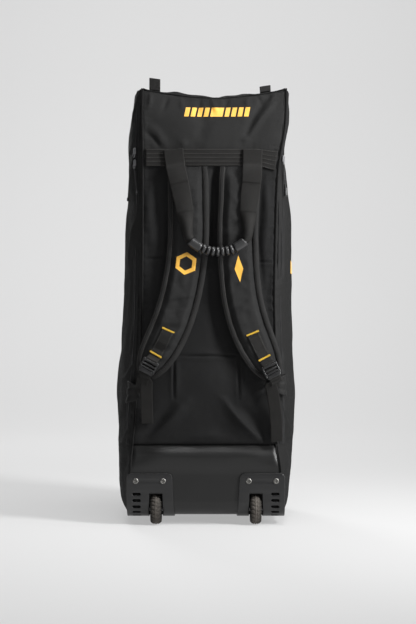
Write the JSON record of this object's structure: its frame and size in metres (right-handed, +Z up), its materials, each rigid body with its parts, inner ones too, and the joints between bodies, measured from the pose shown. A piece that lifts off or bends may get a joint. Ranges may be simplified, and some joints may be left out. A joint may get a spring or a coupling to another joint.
{
  "type": "wheeled cricket kit bag",
  "caption": "Tall wheeled cricket kit bag in black canvas with padded shoulder straps, a haul handle with a ribbed grip, side zips and wheel brackets",
  "frame": {"origin": "on the floor, at the middle of the bag's bounding box", "axes": "+Z up; the back panel with its straps and wheels faces -Y; +X is to the right as that panel is seen"},
  "size_m": [0.3932, 0.3865, 0.9413],
  "materials": {
    "canvas": "black woven polyester canvas, matte",
    "padding": "black padded ripstop fabric",
    "coated": "black coated tarpaulin with a soft sheen",
    "webbing": "black ribbed webbing",
    "trim": "black binding, piping and cord",
    "zip": "black coil zip teeth",
    "slider": "worn nickel",
    "grip": "soft black moulded grip",
    "buckle": "black moulded buckle",
    "bracket": "dark grey moulded plastic",
    "tyre": "dusty black rubber",
    "hub": "black moulded plastic",
    "screw": "black coated steel",
    "axle": "plain steel"
  },
  "bodies": {
    "bag": {"upper_back_panel": "canvas", "back_panel": "padding", "kick_panel": "coated", "gusset_left": "canvas", "gusset_right": "canvas", "front_panel": "canvas", "top_panel": "canvas", "base_panel": "coated", "piping_left": "trim", "piping_right": "trim", "reinforcement_band": "webbing", "top_tab_left": "webbing", "top_tab_right": "webbing", "zip_tape_left": "trim", "zip_coil_left": "zip", "zip_tape_right": "trim", "zip_coil_right": "zip", "zip_slider_left_lower": "slider", "zip_pull_left_lower": "trim", "zip_slider_left_upper": "slider", "zip_pull_left_upper": "trim", "zip_slider_right": "slider", "zip_pull_right": "trim", "zip_toggle_right": "grip", "haul_handle_webbing": "webbing", "haul_handle_grip": "grip", "shoulder_strap_left": "padding", "strap_webbing_left": "webbing", "ladder_lock_left": "buckle", "adjuster_webbing_left": "webbing", "anchor_tab_left": "trim", "shoulder_strap_right": "padding", "strap_webbing_right": "webbing", "ladder_lock_right": "buckle", "adjuster_webbing_right": "webbing", "anchor_tab_right": "trim", "wheel_bracket_left": "bracket", "screw_left_inner": "screw", "screw_left_outer": "screw", "axle_left": "axle", "front_foot_left": "bracket", "wheel_bracket_right": "bracket", "screw_right_inner": "screw", "screw_right_outer": "screw", "axle_right": "axle", "front_foot_right": "bracket"},
    "wheel_left": {"tyre_left": "tyre", "hub_left": "hub"},
    "wheel_right": {"tyre_right": "tyre", "hub_right": "hub"}
  },
  "joints": [
    {"name": "wheel_left_spin", "type": "hinge", "parent": "bag", "child": "wheel_left", "pos_m": [-0.105, -0.1337, 0.032], "axis": [1, 0, 0], "continuous": true},
    {"name": "wheel_right_spin", "type": "hinge", "parent": "bag", "child": "wheel_right", "pos_m": [0.105, -0.1337, 0.032], "axis": [1, 0, 0], "continuous": true}
  ]
}
